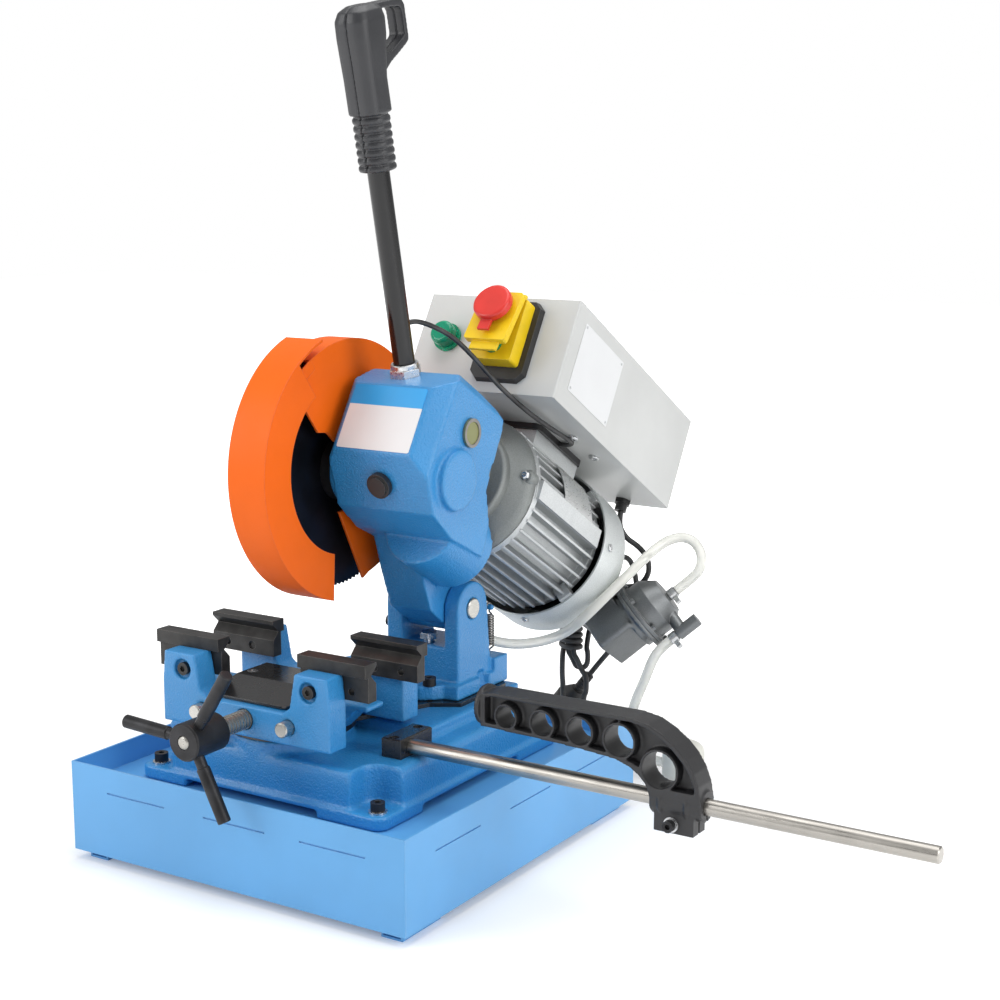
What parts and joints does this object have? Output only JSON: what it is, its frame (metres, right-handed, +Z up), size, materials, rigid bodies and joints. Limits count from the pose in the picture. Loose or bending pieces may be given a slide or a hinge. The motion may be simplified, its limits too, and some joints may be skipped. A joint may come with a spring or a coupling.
{
  "type": "cold saw",
  "caption": "Bench cold saw: tilting geared head with round blade and guards, motor, coolant pump and control box over a self-centring vise, bar stop and coolant tray.",
  "frame": {"origin": "on the bench under the centre of the coolant tray", "axes": "+X to the operator's right along the bar stop, +Y away from the operator, +Z up"},
  "size_m": [0.79, 0.6472, 0.7856],
  "materials": {
    "blue_paint": "semi-gloss blue paint",
    "orange_paint": "semi-gloss orange paint",
    "grey_paint": "light grey paint",
    "silver_paint": "silver grey paint on castings",
    "bright_steel": "turned steel",
    "black_steel": "black oxide",
    "dark_steel": "dark steel",
    "blade_steel": "steam-tempered dark steel",
    "zinc_steel": "zinc plated",
    "bronze": "bronze",
    "pump_metal": "die cast, dull",
    "black_plastic": "black, fine texture",
    "yellow_plastic": "yellow",
    "red_plastic": "red",
    "green_plastic": "green",
    "clear_hose": "milky clear hose",
    "white_plastic": "white",
    "cord_rubber": "black sheath",
    "black_paint": "black paint"
  },
  "bodies": {
    "base": {"tray": "blue_paint", "base_casting": "blue_paint", "base_screws": "black_steel", "vise_saddle": "blue_paint", "guide_rods": "bright_steel", "work_plate": "black_steel", "stop_block": "black_steel"},
    "jaw_front_body": {"front_jaw_body": "blue_paint", "front_jaws": "black_steel"},
    "jaw_rear_body": {"rear_jaw_body": "blue_paint", "rear_jaws": "black_steel"},
    "vise_spindle": {"vise_screw": "bright_steel", "vise_hub": "black_plastic", "vise_arms": "black_plastic"},
    "swivel": {"swivel_plate": "black_paint", "column": "blue_paint", "column_bolts": "zinc_steel", "pivot_pin": "bright_steel", "return_spring": "dark_steel"},
    "head": {"gear_housing": "blue_paint", "oil_fittings": "black_plastic", "bearings": "bright_steel", "blade_hood": "orange_paint", "motor_frame": "silver_paint", "motor_bell": "silver_paint", "stator": "dark_steel", "fan_cover": "silver_paint", "control_box": "grey_paint", "box_fittings": "black_plastic", "pilot_lamp": "green_plastic", "switch_base": "black_plastic", "switch_body": "yellow_plastic", "lever_tube": "black_paint", "grip_left": "black_plastic", "grip_right": "black_plastic", "pump_body": "pump_metal", "pump_cap": "pump_metal", "hose_clamps": "zinc_steel", "delivery_hose": "clear_hose", "suction_hose": "clear_hose", "strainer": "white_plastic", "lever_cable": "cord_rubber", "mains_lead": "cord_rubber", "mains_hank": "cord_rubber", "plug_lead": "cord_rubber", "mains_plug": "black_plastic"},
    "spindle_train": {"spindle": "bright_steel", "worm_wheel": "bronze", "saw_blade": "blade_steel", "blade_clamp": "dark_steel"},
    "motor_rotor": {"rotor": "bright_steel", "cooling_fan": "black_plastic"},
    "guard": {"front_guard": "orange_paint"},
    "trigger_lever": {"trigger": "black_plastic"},
    "flap": {"switch_flap": "yellow_plastic"},
    "mushroom": {"stop_mushroom": "red_plastic"},
    "start": {"start_button": "green_plastic"},
    "bar": {"stop_rod": "bright_steel"},
    "bar_arm": {"stop_arm": "black_plastic", "stop_screws": "zinc_steel"}
  },
  "joints": [
    {"name": "mitre", "type": "hinge", "parent": "base", "child": "swivel", "pos_m": [-0.017, -0.088, 0.1335], "axis": [0, 0, 1], "range_deg": [-20, 45]},
    {"name": "head_tilt", "type": "hinge", "parent": "swivel", "child": "head", "pos_m": [0.039, 0.0716, 0.22], "axis": [-1, 0, 0], "range_deg": [-34, 0], "stiffness_Nm_per_rad": 25, "springref_deg": 34.38, "deforming": ["return_spring"]},
    {"name": "guard_swing", "type": "hinge", "parent": "head", "child": "guard", "pos_m": [-0.034, -0.01005, 0.36099], "axis": [-1, 0, 0], "range_deg": [0, 75]},
    {"name": "rotor_spin", "type": "hinge", "parent": "head", "child": "motor_rotor", "pos_m": [0.056, 0.12877, 0.31515], "axis": [0, 0.8572, -0.515], "continuous": true},
    {"name": "blade_spin", "type": "hinge", "parent": "head", "child": "spindle_train", "pos_m": [-0.017, -0.01005, 0.36099], "axis": [1, 0, 0], "continuous": true},
    {"name": "jaw_front", "type": "slide", "parent": "base", "child": "jaw_front_body", "axis": [0, 1, 0], "range_m": [-0.008, 0.03]},
    {"name": "jaw_rear", "type": "slide", "parent": "base", "child": "jaw_rear_body", "axis": [0, -1, 0], "range_m": [-0.008, 0.03]},
    {"name": "vise_screw_turn", "type": "hinge", "parent": "base", "child": "vise_spindle", "pos_m": [-0.017, -0.219, 0.1525], "axis": [0, 1, 0], "range_deg": [-720.5, 2700.5]},
    {"name": "bar_turn", "type": "hinge", "parent": "base", "child": "bar", "pos_m": [0.1, -0.078, 0.1285], "axis": [1, 0, 0], "range_deg": [-90, 90]},
    {"name": "bar_arm_slide", "type": "slide", "parent": "bar", "child": "bar_arm", "axis": [1, 0, 0], "range_m": [-0.055, 0.19]},
    {"name": "trigger_pull", "type": "hinge", "parent": "head", "child": "trigger_lever", "pos_m": [0.052, -0.04843, 0.76328], "axis": [-1, 0, 0], "range_deg": [0, 8], "stiffness_Nm_per_rad": 0.4, "springref_deg": -17.19},
    {"name": "flap_swing", "type": "hinge", "parent": "head", "child": "flap", "pos_m": [0.078, 0.13653, 0.51698], "axis": [-1, 0, 0], "range_deg": [-10, 90]},
    {"name": "mushroom_press", "type": "slide", "parent": "flap", "child": "mushroom", "axis": [0, 0.7547, -0.6561], "range_m": [0, 0.003], "stiffness_N_per_m": 600, "springref_m": -0.004},
    {"name": "start_press", "type": "slide", "parent": "head", "child": "start", "axis": [0, 0.8572, -0.515], "range_m": [0, 0.003], "stiffness_N_per_m": 500, "springref_m": -0.003}
  ],
  "couplings": [
    {"joint": "guard_swing", "follows": "head_tilt", "ratio": -2.2},
    {"joint": "blade_spin", "follows": "rotor_spin", "ratio": 0.033333},
    {"joint": "jaw_rear", "follows": "jaw_front", "ratio": 1},
    {"joint": "vise_screw_turn", "follows": "jaw_front", "rad_per_m": 1570.8}
  ]
}
